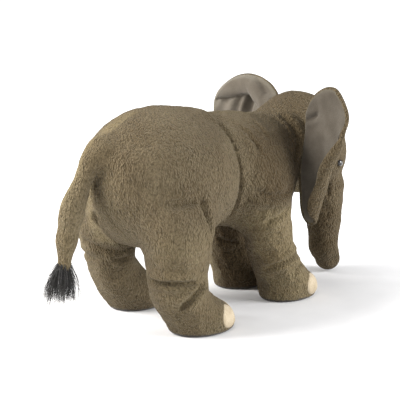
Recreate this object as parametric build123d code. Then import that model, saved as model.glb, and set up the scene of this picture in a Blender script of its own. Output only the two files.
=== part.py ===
from build123d import *
import os
from math import asin, cos, degrees, radians, sin

# A stuffed elephant standing on four padded legs, with wide ears, a hanging trunk and a tufted tail.
# It is sewn from pile cloth over loose fibre filling, and it flexes at its seams. Each place where it
# flexes is a stuffed ball in a matching hollow, so that the pieces stay clear of each other.
# The elephant faces -Y, its left side is +X and +Z is up. The origin is on the ground under the middle
# of the toy. Lengths are in millimetres.

# Cloth and clearances
CLOTH = 2.0             # pile cloth, backing and pile together
PACKING_GAP = 0.3       # between a skin and the filling inside it
FLEX_GAP = 0.6          # between two pieces that move against each other
FAR = 600.0             # longer than the toy, for cutting tools

# Torso, from the round rump down to the shoulders
RUMP = Vector(0, 80, 150)
RUMP_RADIUS = 72.0
SHOULDER = Vector(0, -48, 138)
SHOULDER_RADIUS = 59.0
GUSSET_TOP = 178.0      # the belly gusset starts in a point under the tail
GUSSET_SIDE = 96.0      # height where it has its full width
GUSSET_HALF_WIDTH = 24.0

# Neck and head
NECK = Vector(0, -86, 152)
NECK_RADIUS = 38.0
NECK_SLIT = 8.5         # from the neck's middle to the torso in front, and to the head behind
BROW = Vector(0, -118, 168)
BROW_RADIUS = 47.0
MUZZLE = Vector(0, -169, 150)
MUZZLE_RADIUS = 33.0
FOREHEAD_HALF_WIDTH = 17.0
FOREHEAD_FLOOR = 158.0
LIP_BACK = Vector(0, -117, 117)
LIP_FRONT = Vector(0, -126, 112)
LIP_BACK_RADIUS = 12.0
LIP_FRONT_RADIUS = 9.0

# Eyes: a bead on a stem, with a washer behind the cloth
EYE_ALONG = 0.8         # fraction of the way from the brow to the muzzle
EYE_DROP = 25.0         # degrees below the side of the head
EYE_RADIUS = 3.8
STEM_RADIUS = 1.2
STEM_LENGTH = 8.0
STEM_PLAY = 0.2
WASHER_RADIUS = 6.0
WASHER_THICKNESS = 1.2
WASHER_DEPTH = 2.9      # from the outside of the cloth to the washer's near face

# Trunk, in two stuffed lengths that bend at its root and at its middle
TRUNK_ROOT = Vector(0, -167, 121)
TRUNK_ROOT_RADIUS = 24.0
TRUNK_MIDDLE = Vector(0, -171, 74)
TRUNK_MIDDLE_RADIUS = 18.5
TRUNK_TIP = Vector(0, -174, 17)
TRUNK_TIP_RADIUS = 14.5
TRUNK_CUFF = 20.0       # radius of the upper length where it hoods the lower one
TRUNK_CUFF_LIFT = 4.5   # the cuff ends this far above the middle bend
TRUNK_END = 5.0         # height of the flat tip

# Ears, curved plates of two cloths with thin padding between them
EAR_HINGE = Vector(47, -105, 170)
EAR_BEND_RADIUS = 150.0
EAR_CLOTH = 1.9
EAR_PADDING = 3.6
EAR_LAYER_GAP = 0.3
EAR_HEAD_GAP = 3.5
EAR_OUTLINE = [(37, 132), (71, 86), (98, 120), (112, 186), (103, 222), (79, 233), (44, 219), (26, 196)]

# Tail, in two stuffed lengths with a tuft of long hair at the end
TAIL_ROOT = Vector(0, 154, 179)
TAIL_ROOT_RADIUS = 8.0
TAIL_MIDDLE = Vector(0, 181, 117)
TAIL_MIDDLE_RADIUS = 11.0
TAIL_CUFF = 12.3
TAIL_CUFF_LIFT = 4.0
TAIL_END = Vector(0, 187, 84)
TAIL_END_RADIUS = 8.5
TUFT_TOP = 80.0
TUFT_RINGS = [(79.7, 187, 5.5, 6.5), (66, 188, 9, 9.5), (52, 190, 14, 11.3), (41, 190, 12, 11.8)]

# Legs. A ring is height, x, y, half width and half length of the leg there.
SWING = 10.0            # degrees a leg swings forward and back
SOLE = 2.0              # thickness of the sole's cloth
NAIL_PROUD = 1.2
NAIL_LIFT = 0.2
NAIL_RADIUS = 8.0
NAIL_HEIGHT = 13.0
NAIL_ANGLES = (-38.0, 0.0, 38.0)
REAR_LEG = {
    "hip": Vector(46, 82, 98),
    "hip_radius": 33.0,
    "knee": Vector(49, 84, 66),
    "knee_radius": 31.0,
    "rings": [
        (0, 52, 58, 28, 35),
        (9, 52, 59, 31.5, 39),
        (24, 52, 66, 31.5, 38),
        (46, 51, 80, 29, 31),
        (70, 49.5, 85, 29.5, 30),
        (91, 46.5, 83, 30.5, 31),
    ],
}
FRONT_LEG = {
    "hip": Vector(36, -52, 92),
    "hip_radius": 29.0,
    "knee": Vector(35, -56, 62),
    "knee_radius": 27.5,
    "rings": [
        (0, 34, -81, 24.5, 33),
        (9, 34, -81, 28, 36.5),
        (24, 34, -76, 27.5, 34),
        (44, 34.5, -63, 26, 28),
        (64, 35, -56, 26, 26.5),
        (86, 36, -52.5, 26.8, 27.3),
    ],
}
LEGS = {"rear": REAR_LEG, "front": FRONT_LEG}


# Plain shapes

def ball(centre, radius):
    return Pos(*centre) * Sphere(radius)


def round_cone(start, end, start_radius, end_radius):
    """A stuffed tube: a straight cone with a tangent ball at each end."""
    run = (end - start).length
    meeting = 90 - degrees(asin((start_radius - end_radius) / run))

    def rim(offset, radius, angle):
        return (offset + radius * cos(radians(angle)), radius * sin(radians(angle)))

    back = rim(0, start_radius, 180)
    back_side = rim(0, start_radius, meeting)
    front_side = rim(run, end_radius, meeting)
    front = rim(run, end_radius, 0)
    outline = [
        ThreePointArc(back, rim(0, start_radius, (180 + meeting) / 2), back_side),
        Line(back_side, front_side),
        ThreePointArc(front_side, rim(run, end_radius, meeting / 2), front),
        Line(front, back),
    ]
    solid = revolve(make_face(outline), Axis.X)
    along = end - start
    return Plane(origin=start, x_dir=along, z_dir=along.cross(Vector(1, 0, 0))) * solid


def slab(low, high):
    """All the space between two heights."""
    return Pos(0, 0, (low + high) / 2) * Box(FAR, FAR, high - low)


def strip(half_width, floor):
    """The space above a height and within a half width of the middle plane."""
    return Pos(0, 0, floor + FAR / 2) * Box(2 * half_width, 2 * FAR, FAR)


def ahead_of(y):
    return Pos(0, y - FAR / 2, 0) * Box(FAR, FAR, 2 * FAR)


def behind(y):
    return Pos(0, y + FAR / 2, 0) * Box(FAR, FAR, 2 * FAR)


def left_half(solid):
    return solid & (Pos(FAR / 2, 0, 0) * Box(FAR, 2 * FAR, 2 * FAR))


def right_of(solid):
    """The same piece on the elephant's right side."""
    return mirror(solid, about=Plane.YZ)


# Legs

def leg_lower(leg, grow=0.0):
    """The leg below its hip ball, grown outward, or shrunk to the inside of its cloth."""
    rings = []
    for height, x, y, half_width, half_length in leg["rings"]:
        rings.append(Pos(x, y, height) * Ellipse(half_width + grow, half_length + grow))
    return loft(rings)


def leg_solid(leg, grow=0.0):
    return leg_lower(leg, grow) + ball(leg["hip"], leg["hip_radius"] + grow)


def leg_room(leg):
    """The room that the top of a leg needs in the torso over its swing, a widening cone."""
    reach = (leg["knee"] - leg["hip"]).length
    swept = leg["knee_radius"] / cos(radians(SWING)) + reach * sin(radians(SWING))
    return round_cone(leg["hip"], leg["knee"], leg["hip_radius"] + FLEX_GAP, swept + FLEX_GAP)


def leg_skin(leg):
    return leg_solid(leg) - leg_solid(leg, -CLOTH)


def leg_filling(leg):
    return leg_solid(leg, -CLOTH - PACKING_GAP) - slab(-FAR, SOLE + PACKING_GAP)


def leg_sole(leg):
    return leg_lower(leg, -CLOTH - PACKING_GAP) & slab(0, SOLE)


def leg_toenails(leg):
    """Three oval nails of smooth cloth on the front of the foot."""
    coat = leg_lower(leg, NAIL_PROUD) - leg_lower(leg, NAIL_LIFT)
    _, x, y, _, half_length = leg["rings"][1]
    nails = []
    for angle in NAIL_ANGLES:
        outward = Vector(sin(radians(angle)), -cos(radians(angle)), 0)
        reach = Plane(origin=(x, y, NAIL_HEIGHT), z_dir=outward)
        punch = Cylinder(NAIL_RADIUS, 2 * half_length, align=(Align.CENTER, Align.CENTER, Align.MIN))
        nails.append(coat & (reach * punch))
    return Part() + nails


def leg_nodes():
    nodes = {}
    for end, leg in LEGS.items():
        pieces = {
            "skin": leg_skin(leg),
            "filling": leg_filling(leg),
            "sole": leg_sole(leg),
            "toenails": leg_toenails(leg),
        }
        for name, piece in pieces.items():
            nodes[f"{end}_leg_{name}_left"] = piece
            nodes[f"{end}_leg_{name}_right"] = right_of(piece)
    return nodes


# Torso

def torso_solid(grow=0.0):
    return round_cone(RUMP, SHOULDER, RUMP_RADIUS + grow, SHOULDER_RADIUS + grow)


def torso_room():
    """What the torso leaves room for: legs, neck, tail and the slit in front of the shoulders."""
    room = [ball(NECK, NECK_RADIUS + FLEX_GAP), ahead_of(NECK.Y + NECK_SLIT)]
    room.append(tail_upper_solid(2 * FLEX_GAP))
    for leg in LEGS.values():
        room.append(leg_room(leg))
        room.append(right_of(leg_room(leg)))
    return room


def belly_gusset_room():
    """A strip along the underside that runs to a point under the tail and at the chest."""
    outline = Polyline(
        (0, GUSSET_TOP),
        (GUSSET_HALF_WIDTH, GUSSET_SIDE),
        (GUSSET_HALF_WIDTH, 0),
        (-GUSSET_HALF_WIDTH, 0),
        (-GUSSET_HALF_WIDTH, GUSSET_SIDE),
        close=True,
    )
    return extrude(Plane.XZ * make_face(outline), FAR, both=True)


def torso_nodes():
    room = torso_room()
    skin = torso_solid() - torso_solid(-CLOTH) - room
    gusset_room = belly_gusset_room()
    side_left = left_half(skin - gusset_room)
    return {
        "torso_filling": torso_solid(-CLOTH - PACKING_GAP) - room,
        "side_panel_left": side_left,
        "side_panel_right": right_of(side_left),
        "belly_gusset": skin & gusset_room,
    }


# Neck and head

def neck_nodes():
    return {
        "neck_skin": ball(NECK, NECK_RADIUS) - ball(NECK, NECK_RADIUS - CLOTH),
        "neck_filling": ball(NECK, NECK_RADIUS - CLOTH - PACKING_GAP),
    }


def head_solid(grow=0.0):
    return round_cone(BROW, MUZZLE, BROW_RADIUS + grow, MUZZLE_RADIUS + grow)


def eye_plane():
    """A plane on the cloth where the left eye sits, facing outward."""
    run = MUZZLE - BROW
    forward = run.normalized()
    up = Vector(1, 0, 0).cross(forward) * -1
    lean = asin((BROW_RADIUS - MUZZLE_RADIUS) / run.length)
    sideways = Vector(1, 0, 0) * cos(radians(EYE_DROP)) - up * sin(radians(EYE_DROP))
    outward = sideways * cos(lean) + forward * sin(lean)
    radius = BROW_RADIUS + EYE_ALONG * (MUZZLE_RADIUS - BROW_RADIUS)
    return Plane(origin=BROW + run * EYE_ALONG + outward * radius, z_dir=outward)


def post(radius, low, high):
    """A round post along an eye's axis, between two distances from the cloth."""
    return Pos(0, 0, low) * Cylinder(radius, high - low, align=(Align.CENTER, Align.CENTER, Align.MIN))


def eye():
    bead = Sphere(EYE_RADIUS) & post(2 * EYE_RADIUS, 0, 2 * EYE_RADIUS)
    return eye_plane() * (bead + post(STEM_RADIUS, -STEM_LENGTH, 0))


def eye_washer():
    far_face = -WASHER_DEPTH - WASHER_THICKNESS
    disc = post(WASHER_RADIUS, far_face, -WASHER_DEPTH)
    return eye_plane() * (disc - post(STEM_RADIUS + STEM_PLAY, far_face - 1, 0))


def eye_room():
    """The stem's hole through the cloth, and the washer's pocket in the filling."""
    hole = post(STEM_RADIUS + STEM_PLAY, -STEM_LENGTH - 1, EYE_RADIUS)
    pocket = post(
        WASHER_RADIUS + PACKING_GAP,
        -WASHER_DEPTH - WASHER_THICKNESS - PACKING_GAP,
        -CLOTH - PACKING_GAP / 2,
    )
    return eye_plane() * hole, eye_plane() * pocket


def head_nodes():
    hole, pocket = eye_room()
    room = [
        ball(NECK, NECK_RADIUS + FLEX_GAP),
        behind(NECK.Y - NECK_SLIT),
        ball(TRUNK_ROOT, TRUNK_ROOT_RADIUS + FLEX_GAP),
        hole,
        right_of(hole),
    ]
    skin = head_solid() - head_solid(-CLOTH) - room
    forehead_room = strip(FOREHEAD_HALF_WIDTH, FOREHEAD_FLOOR)
    side = left_half(skin - forehead_room)
    lip = round_cone(LIP_BACK, LIP_FRONT, LIP_BACK_RADIUS, LIP_FRONT_RADIUS)
    return {
        "head_filling": head_solid(-CLOTH - PACKING_GAP) - room - [pocket, right_of(pocket)],
        "head_panel_left": side,
        "head_panel_right": right_of(side),
        "forehead_gusset": skin & forehead_room,
        "lower_lip": lip - head_solid(PACKING_GAP) - ball(NECK, NECK_RADIUS + FLEX_GAP),
        "eye_left": eye(),
        "eye_right": right_of(eye()),
        "eye_washer_left": eye_washer(),
        "eye_washer_right": right_of(eye_washer()),
    }


# Trunk

def trunk_upper_solid(grow=0.0):
    return round_cone(TRUNK_ROOT, TRUNK_MIDDLE, TRUNK_ROOT_RADIUS + grow, TRUNK_CUFF + grow)


def trunk_lower_solid(grow=0.0):
    return round_cone(TRUNK_MIDDLE, TRUNK_TIP, TRUNK_MIDDLE_RADIUS + grow, TRUNK_TIP_RADIUS + grow)


def trunk_nodes():
    bend = [
        slab(-FAR, TRUNK_MIDDLE.Z + TRUNK_CUFF_LIFT),
        ball(TRUNK_MIDDLE, TRUNK_MIDDLE_RADIUS + FLEX_GAP),
    ]
    tip_panel = slab(TRUNK_END, TRUNK_END + CLOTH)
    tip_room = slab(-FAR, TRUNK_END + CLOTH)
    return {
        "trunk_upper_skin": trunk_upper_solid() - trunk_upper_solid(-CLOTH) - bend,
        "trunk_upper_filling": trunk_upper_solid(-CLOTH - PACKING_GAP) - bend,
        "trunk_lower_skin": trunk_lower_solid() - trunk_lower_solid(-CLOTH) - tip_room,
        "trunk_lower_filling": trunk_lower_solid(-CLOTH - PACKING_GAP) - slab(
            -FAR, TRUNK_END + CLOTH + PACKING_GAP
        ),
        "trunk_tip_panel": trunk_lower_solid() & tip_panel,
    }


# Ears

def ear_layer(depth, thickness):
    """One layer of the left ear. Depth is from the ear's middle to the layer's, positive backward."""
    outline = make_face(Spline(EAR_OUTLINE, periodic=True))
    blank = extrude(Plane.XZ * outline, FAR, both=True)
    axis_y = EAR_HINGE.Y + EAR_BEND_RADIUS
    outer = EAR_BEND_RADIUS - depth + thickness / 2
    inner = EAR_BEND_RADIUS - depth - thickness / 2
    sheet = Cylinder(outer, FAR) - Cylinder(inner, FAR)
    sheet = (Pos(EAR_HINGE.X, axis_y, 0) * sheet) & ahead_of(EAR_HINGE.Y + EAR_BEND_RADIUS / 2)
    return (blank & sheet) - ball(BROW, BROW_RADIUS + EAR_HEAD_GAP)


def ear_nodes():
    step = (EAR_PADDING + EAR_CLOTH) / 2 + EAR_LAYER_GAP
    layers = {
        "front_panel": ear_layer(-step, EAR_CLOTH),
        "padding": ear_layer(0, EAR_PADDING),
        "back_panel": ear_layer(step, EAR_CLOTH),
    }
    nodes = {}
    for name, layer in layers.items():
        nodes[f"ear_{name}_left"] = layer
        nodes[f"ear_{name}_right"] = right_of(layer)
    return nodes


# Tail

def tail_upper_solid(grow=0.0):
    return round_cone(TAIL_ROOT, TAIL_MIDDLE, TAIL_ROOT_RADIUS + grow, TAIL_CUFF + grow)


def tail_lower_solid(grow=0.0):
    return round_cone(TAIL_MIDDLE, TAIL_END, TAIL_MIDDLE_RADIUS + grow, TAIL_END_RADIUS + grow)


def tail_nodes():
    bend = [
        slab(-FAR, TAIL_MIDDLE.Z + TAIL_CUFF_LIFT),
        ball(TAIL_MIDDLE, TAIL_MIDDLE_RADIUS + FLEX_GAP),
    ]
    hem = slab(-FAR, TUFT_TOP)
    tuft = loft([Pos(0, y, z) * Ellipse(half_x, half_y) for z, y, half_x, half_y in TUFT_RINGS])
    return {
        "tail_upper_skin": tail_upper_solid() - tail_upper_solid(-CLOTH) - bend,
        "tail_upper_filling": tail_upper_solid(-CLOTH - PACKING_GAP) - bend,
        "tail_lower_skin": tail_lower_solid() - tail_lower_solid(-CLOTH) - hem,
        "tail_lower_filling": tail_lower_solid(-CLOTH - PACKING_GAP) - hem,
        "tail_tuft": tuft,
    }


def write_nodes(nodes):
    os.makedirs("parts", exist_ok=True)
    for name, solid in nodes.items():
        export_step(solid, f"parts/{name}.step")


for group in (torso_nodes, leg_nodes, neck_nodes, head_nodes, trunk_nodes, ear_nodes, tail_nodes):
    write_nodes(group())
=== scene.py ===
import math

import bpy
import numpy as np
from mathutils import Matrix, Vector, noise
from mathutils.bvhtree import BVHTree


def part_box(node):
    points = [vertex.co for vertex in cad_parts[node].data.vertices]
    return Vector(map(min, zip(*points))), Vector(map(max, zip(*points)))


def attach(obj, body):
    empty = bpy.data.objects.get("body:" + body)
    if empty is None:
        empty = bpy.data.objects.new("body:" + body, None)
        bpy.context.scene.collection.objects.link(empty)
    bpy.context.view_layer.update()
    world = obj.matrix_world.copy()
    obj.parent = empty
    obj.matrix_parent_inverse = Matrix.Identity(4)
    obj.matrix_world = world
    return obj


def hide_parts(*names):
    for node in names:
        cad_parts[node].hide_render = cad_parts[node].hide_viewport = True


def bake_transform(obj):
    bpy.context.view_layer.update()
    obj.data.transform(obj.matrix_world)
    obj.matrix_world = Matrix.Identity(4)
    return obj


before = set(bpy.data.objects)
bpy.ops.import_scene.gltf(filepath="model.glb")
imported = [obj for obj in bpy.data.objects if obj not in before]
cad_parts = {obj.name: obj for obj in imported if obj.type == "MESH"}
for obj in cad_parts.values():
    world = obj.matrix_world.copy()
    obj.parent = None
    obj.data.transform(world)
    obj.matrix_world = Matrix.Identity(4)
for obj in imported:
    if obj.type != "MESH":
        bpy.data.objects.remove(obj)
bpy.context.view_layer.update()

# Places and sizes in this script are written in millimetres and turned into metres by mm().
RIGHT, LEFT = -1, 1
SIDE_NAMES = {RIGHT: "right", LEFT: "left"}
COARSE = 0.005  # side of the cloth's quads while it is simulated
PILE_HEIGHT = 0.00028
PILE_CLUMP = 0.0030


def mm(*values):
    return np.array(values, float) * 0.001


def smooth_step(value, low, high):
    t = np.clip((value - low) / (high - low), 0, 1)
    return t * t * (3 - 2 * t)


def smooth_curve(at, values, spread):
    """Values between some points, with their corners rounded off over a spread."""
    fine = np.linspace(at[0], at[-1], 80)
    weights = np.exp(-(((fine[:, None] - fine[None, :]) / spread) ** 2))
    rounded = weights @ np.interp(fine, at, values) / weights.sum(1)
    return lambda x: np.interp(x, fine, rounded)


# ---- shapes as distances


def egg(centre, radii):
    """An ellipsoid: how far points are from it, and the ball that fills it."""
    centre, radii = mm(*centre), mm(*radii)

    def distance(p):
        q = (p - centre) / radii
        outer = np.linalg.norm(q, axis=1)
        inner = np.linalg.norm(q / radii, axis=1)
        return outer * (outer - 1) / np.maximum(inner, 1e-9)

    return distance, [(centre, radii)]


def cone(a, b, radius_a, radius_b):
    """A round cone that touches two balls."""
    a, b = mm(*a), mm(*b)
    radius_a, radius_b = radius_a * 0.001, radius_b * 0.001
    axis = b - a
    length_squared = axis @ axis
    taper = radius_a - radius_b
    slant_squared = length_squared - taper * taper

    def distance(p):
        q = p - a
        along = q @ axis
        beyond_b = along - length_squared
        across = q * length_squared - axis * along[:, None]
        across_squared = (across * across).sum(1)
        a_squared = along * along * length_squared
        b_squared = beyond_b * beyond_b * length_squared
        limit = np.sign(taper) * taper * taper * across_squared
        at_b = np.sign(beyond_b) * slant_squared * b_squared > limit
        at_a = np.sign(along) * slant_squared * a_squared < limit
        side = (np.sqrt(across_squared * slant_squared / length_squared) + along * taper) / length_squared
        near_a = np.sqrt(across_squared + a_squared) / length_squared
        near_b = np.sqrt(across_squared + b_squared) / length_squared
        return np.where(at_b, near_b - radius_b, np.where(at_a, near_a - radius_a, side - radius_a))

    steps = np.linspace(0, 1, 7)
    balls = [(a + t * axis, np.full(3, radius_a - taper * t)) for t in steps]
    return distance, balls


def limb(rings):
    """A leg through oval rings, each (z, x, y, half width, half length), from the top down."""
    table = np.array(rings, float)[::-1] * 0.001
    heights = table[:, 0]
    curves = [smooth_curve(heights, table[:, k], 0.006) for k in (1, 2, 3, 4)]

    def distance(p):
        x, y, w, l = (curve(p[:, 2]) for curve in curves)
        dx, dy = p[:, 0] - x, p[:, 1] - y
        outer = np.hypot(dx / w, dy / l)
        inner = np.hypot(dx / (w * w), dy / (l * l))
        d = outer * (outer - 1) / np.maximum(inner, 1e-9)
        return -soft_min(-d, heights[-1] - p[:, 2], 0.02)

    balls = []
    for z in np.linspace(heights[0], heights[-1], 15):
        x, y, w, l = (curve(z) for curve in curves)
        balls.append((np.array([x, y, z]), np.array([w, l, 0.012])))
    return distance, balls


def soft_min(a, b, width):
    h = np.clip(0.5 + 0.5 * (b - a) / width, 0, 1)
    return b + (a - b) * h - width * h * (1 - h)


def merged(width, *shapes):
    """Shapes joined with a rounded valley of this width in millimetres."""

    def distance(p):
        d = shapes[0][0](p)
        for shape in shapes[1:]:
            d = soft_min(d, shape[0](p), width * 0.001)
        return d

    return distance, [ball for shape in shapes for ball in shape[1]]


def chain(width, points, radii):
    links = [cone(points[i], points[i + 1], radii[i], radii[i + 1]) for i in range(len(points) - 1)]
    return merged(width, *links)


# Legs as oval rings at these heights: distance from the middle, y, half width, half length.
RING_HEIGHTS = (140, 118, 98, 78, 60, 46, 34, 20, 9, 0)
REAR_RINGS = {
    RIGHT: [
        (40, 86, 34, 38), (47, 87, 35, 39), (51, 88, 33, 37), (52, 89, 31, 33.5), (52, 89, 29, 30.5),
        (52, 87, 28.5, 29.5), (52, 80.5, 30, 33), (52, 65.5, 31.5, 39), (52, 59, 31.5, 38.5),
        (52, 57, 29, 35),
    ],
    LEFT: [
        (40, 88, 34, 38), (47, 92, 35, 39), (52, 94, 34, 37), (53, 93, 30, 32), (53, 92, 27.5, 27.5),
        (53, 88, 27.5, 27.5), (52, 80, 30, 31.5), (51, 66.5, 31.5, 38), (51, 60, 31.5, 37),
        (51, 58, 26, 31),
    ],
}
FRONT_RINGS = {
    RIGHT: [
        (30, -40, 30, 32), (34, -39, 31, 28), (36, -43, 29, 27.5), (36, -48, 26.5, 27), (36, -54, 26, 26.5),
        (36, -59, 26, 26.5), (35, -67, 27, 29), (34, -79, 28.5, 34), (33, -83, 28.5, 36), (33, -83, 26, 33),
    ],
    LEFT: [
        (30, -46, 30, 34), (34, -47, 32, 33), (36, -49, 29, 29), (36, -53, 26.5, 27.5), (36, -57, 26, 26),
        (36, -61, 26, 26.5), (35, -67, 27, 31), (34, -74, 28.5, 35), (33, -76, 28.5, 36), (33, -76, 26, 33),
    ],
}


def leg(rings, side):
    return limb([(z, side * x, y, w, l) for z, (x, y, w, l) in zip(RING_HEIGHTS, rings)])


# The big rear panel ends here on the flank, a little further back near the top.
PANEL_EDGE = 0.0045

rump = egg((0, 80.5, 150), (67, 71.5, 70))
barrel = egg((0, 44, 148), (65.5, 68, 64))
belly = egg((0, 2, 148), (51, 72, 59))
shoulders = egg((0, -47, 140), (57, 54, 57))
rear_body = merged(26, rump, barrel)
front_body = merged(26, belly, shoulders)
skull = egg((0, -122, 167), (42, 50, 48))
muzzle = egg((0, -156.5, 148), (32, 34, 35))
jaw = cone((0, -132, 128), (0, -146, 124), 20, 17)
lip = cone((0, -119, 116), (0, -130, 110), 13, 9)
neck = cone((0, -70, 152), (0, -105, 160), 46, 40)
trunk = chain(
    12,
    [(0, -162, 128), (0, -169, 100), (0, -171.5, 77), (0, -171.5, 58), (0, -172, 33), (0, -179.5, 15.5)],
    (26.5, 22, 18.3, 16, 14.2, 14.4),
)
head = merged(16, skull, muzzle, jaw, trunk, lip)
tail = chain(
    14,
    [(0, 142, 188), (0, 153, 176), (0, 162, 162), (0, 169.5, 148)]
    + [(0, 176, 136), (0, 179, 124), (0, 184, 105), (0, 188, 79)],
    (12, 8, 5.4, 6.6, 8.0, 8.0, 7.4, 6.8),
)
rear_legs = {side: leg(REAR_RINGS[side], side) for side in (RIGHT, LEFT)}
front_legs = {side: leg(FRONT_RINGS[side], side) for side in (RIGHT, LEFT)}


def rear_part(p):
    """The rump panel with its legs, ended by its seam on the flank."""
    d = rear_body[0](p)
    edge = PANEL_EDGE + 0.010 * smooth_step(p[:, 2], 0.190, 0.216)
    trimmed = -soft_min(-d, p[:, 1] - edge, 0.014)
    for side in (RIGHT, LEFT):
        trimmed = soft_min(trimmed, rear_legs[side][0](p), 0.018)
    return trimmed


def front_part(p):
    d = front_body[0](p)
    for side in (RIGHT, LEFT):
        d = soft_min(d, front_legs[side][0](p), 0.018)
    return d


def body(p):
    """The whole sewn skin, before stuffing pressure and pile."""
    top = smooth_step(p[:, 2], 0.196, 0.214)
    d = soft_min(rear_part(p), front_part(p), 0.003 + 0.022 * top)
    collar = soft_min(neck[0](p), head[0](p), 0.012)
    d = soft_min(d, collar, 0.008)
    d = soft_min(d, tail[0](p), 0.003 + 0.015 * smooth_step(p[:, 2], 0.160, 0.178))
    return -soft_min(-d, p[:, 2], 0.003)


BODY_BALLS = rear_body[1] + front_body[1] + head[1] + neck[1] + tail[1]
for leg_side in (RIGHT, LEFT):
    BODY_BALLS += rear_legs[leg_side][1] + front_legs[leg_side][1]


def gradient(distance, p):
    step = 0.0003
    columns = []
    for axis in range(3):
        shift = np.zeros(3)
        shift[axis] = step
        columns.append(distance(p + shift) - distance(p - shift))
    return np.stack(columns, 1) / (2 * step)


# ---- meshes


def add_object(name, data):
    piece = bpy.data.objects.new(name, data)
    bpy.context.scene.collection.objects.link(piece)
    return piece


def add_mesh(name, vertices, faces):
    data = bpy.data.meshes.new(name)
    data.from_pydata(np.asarray(vertices).tolist(), [], [tuple(int(i) for i in face) for face in faces])
    data.update()
    return add_object(name, data)


def values_of(items, name, width, kind=float):
    values = np.empty(len(items) * width, kind)
    items.foreach_get(name, values)
    return values.reshape(-1, width)


def vertices_of(piece):
    return values_of(piece.data.vertices, "co", 3)


def normals_of(piece):
    return values_of(piece.data.vertex_normals, "vector", 3)


def edges_of(piece):
    return values_of(piece.data.edges, "vertices", 2, int)


def quads_of(piece):
    return np.array([tuple(f.vertices) for f in piece.data.polygons])


def set_vertices(piece, co):
    piece.data.vertices.foreach_set("co", np.asarray(co, float).ravel())
    piece.data.update()


def apply_modifiers(piece):
    for other in bpy.context.selected_objects:
        other.select_set(False)
    piece.select_set(True)
    bpy.context.view_layer.objects.active = piece
    for modifier in list(piece.modifiers):
        bpy.ops.object.modifier_apply(modifier=modifier.name)


def grid_quads(rows, turns, closed=True):
    """Faces between rows of points, whose last points join their first ones when closed."""
    quads = []
    for row in range(rows):
        for turn in range(turns if closed else turns - 1):
            a = row * turns + turn
            b = row * turns + (turn + 1) % turns
            quads.append((a, b, b + turns, a + turns))
    return np.array(quads)


def ball_mesh(balls):
    """One mesh of many overlapping balls."""
    rings, turns = 12, 20
    elevation = np.linspace(0, math.pi, rings + 1)
    azimuth = np.linspace(0, 2 * math.pi, turns, endpoint=False)
    places = [(e, a) for e in elevation for a in azimuth]
    unit = [(math.sin(e) * math.cos(a), math.sin(e) * math.sin(a), math.cos(e)) for e, a in places]
    unit = np.array(unit)
    faces = grid_quads(rings, turns)[:, [0, 3, 2, 1]]
    all_vertices = [centre + unit * radii for centre, radii in balls]
    all_faces = [faces + i * len(unit) for i in range(len(balls))]
    return np.concatenate(all_vertices), np.concatenate(all_faces)


def evened(co, edges, share):
    """Every vertex moved a share of the way to the mean of its neighbours."""
    total = np.zeros_like(co)
    count = np.zeros(len(co))
    np.add.at(total, edges[:, 0], co[edges[:, 1]])
    np.add.at(total, edges[:, 1], co[edges[:, 0]])
    np.add.at(count, edges[:, 0], 1)
    np.add.at(count, edges[:, 1], 1)
    return co + share * (total / count[:, None] - co)


def settled(co, edges, distance, rounds, share):
    """Vertices brought onto the surface where distance is 0, kept evenly spread."""
    for _ in range(rounds):
        slope = gradient(distance, co)
        steep = np.maximum((slope * slope).sum(1), 0.2)
        move = -distance(co) / steep
        co = co + np.clip(move, -0.004, 0.004)[:, None] * slope
        if share:
            even = evened(co, edges, share)
            normal = slope / np.sqrt(steep)[:, None]
            shift = even - co
            co = co + shift - normal * (shift * normal).sum(1)[:, None]
    return co


def coarse_skin(name, balls, distance):
    piece = add_mesh(name, *ball_mesh(balls))
    remesh = piece.modifiers.new("remesh", "REMESH")
    remesh.mode = "VOXEL"
    remesh.voxel_size = COARSE
    apply_modifiers(piece)
    set_vertices(piece, settled(vertices_of(piece), edges_of(piece), distance, 10, 0.4))
    return piece


def subdivided(piece, levels):
    modifier = piece.modifiers.new("subdivision", "SUBSURF")
    modifier.levels = levels
    modifier.render_levels = levels
    apply_modifiers(piece)


# ---- seams and folds


def along_line(points, line):
    """How far points are from a line of points, and their share of its length."""
    lengths = np.linalg.norm(np.diff(line, axis=0), axis=1)
    starts = np.concatenate([[0], np.cumsum(lengths)])
    best = np.full(len(points), 9.0)
    share = np.zeros(len(points))
    for i, length in enumerate(lengths):
        axis = (line[i + 1] - line[i]) / length
        offset = points - line[i]
        t = np.clip(offset @ axis, 0, length)
        away = np.linalg.norm(offset - t[:, None] * axis, axis=1)
        nearer = away < best
        best[nearer] = away[nearer]
        share[nearer] = (starts[i] + t[nearer]) / starts[-1]
    return best, share


def fold(points, line, depth, width, swell=0.0, ends=0.2):
    """Height of a fold along a line: a valley between two swellings, in millimetres like its sizes."""
    near = np.all((points > line.min(0) - 0.02) & (points < line.max(0) + 0.02), axis=1)
    height = np.zeros(len(points))
    away, share = along_line(points[near], line)
    fade = smooth_step(share, 0, ends) * smooth_step(1 - share, 0, ends)
    away = away * 1000 / width
    height[near] = (swell * np.exp(-(((away - 2.2) / 1.3) ** 2)) - depth * np.exp(-(away**2))) * fade
    return height


def divided(line):
    """A line through the same points with two more between each pair."""
    line = np.asarray(line, float) * 0.001
    places = np.linspace(0, len(line) - 1, 3 * (len(line) - 1) + 1)
    return np.stack([np.interp(places, np.arange(len(line)), line[:, k]) for k in range(line.shape[1])], 1)


def on_skin(line, side=LEFT, shift=(0, 0, 0)):
    """A fold's line on one side, laid onto the skin."""
    points = (divided(line) + mm(*shift)) * np.array([side, 1, 1])
    return settled(points, None, body, 8, 0)


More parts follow.
